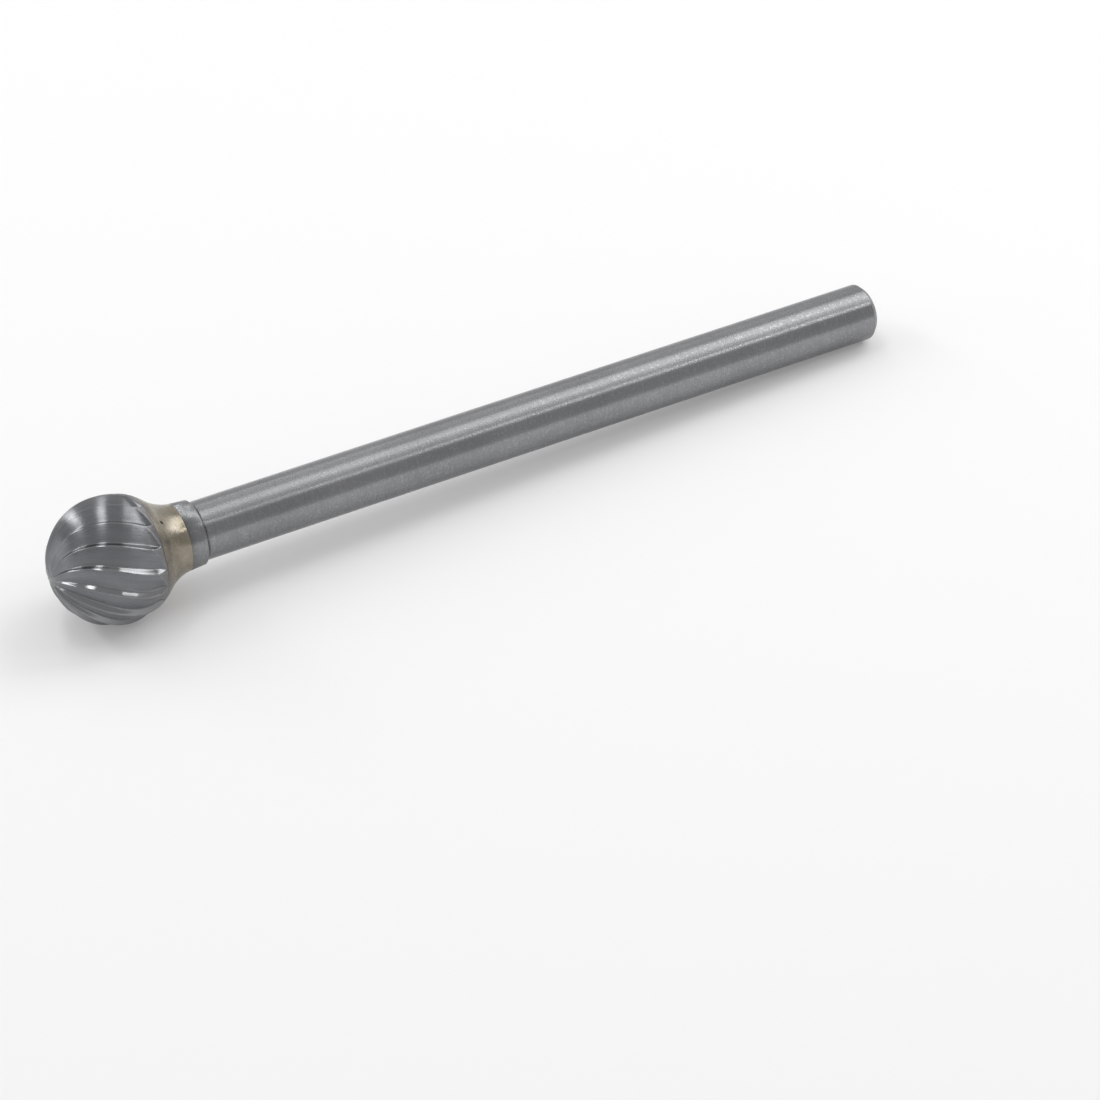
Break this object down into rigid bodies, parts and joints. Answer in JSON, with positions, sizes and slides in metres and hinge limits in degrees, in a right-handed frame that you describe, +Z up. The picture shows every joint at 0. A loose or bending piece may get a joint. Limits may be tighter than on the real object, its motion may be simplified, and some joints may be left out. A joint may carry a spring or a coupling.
{
  "type": "carbide burr",
  "caption": "Ball-shaped rotary burr: a fluted carbide head brazed to a plain round steel shank.",
  "frame": {"origin": "middle of the box that the burr fills, on the surface it lies on", "axes": "+Z up from that surface; the burr lies along X, with the ball toward -X and the free end of the shank toward +X; its axis dips 2.2 degrees toward the shank end"},
  "size_m": [0.0468, 0.0064, 0.0064],
  "materials": {
    "carbide": "ground tungsten carbide, satin",
    "braze": "turned braze, satin with a small pore",
    "steel": "ground steel, satin"
  },
  "bodies": {
    "root": {"carbide_head": "carbide", "braze_joint": "braze", "steel_shank": "steel"}
  },
  "joints": []
}
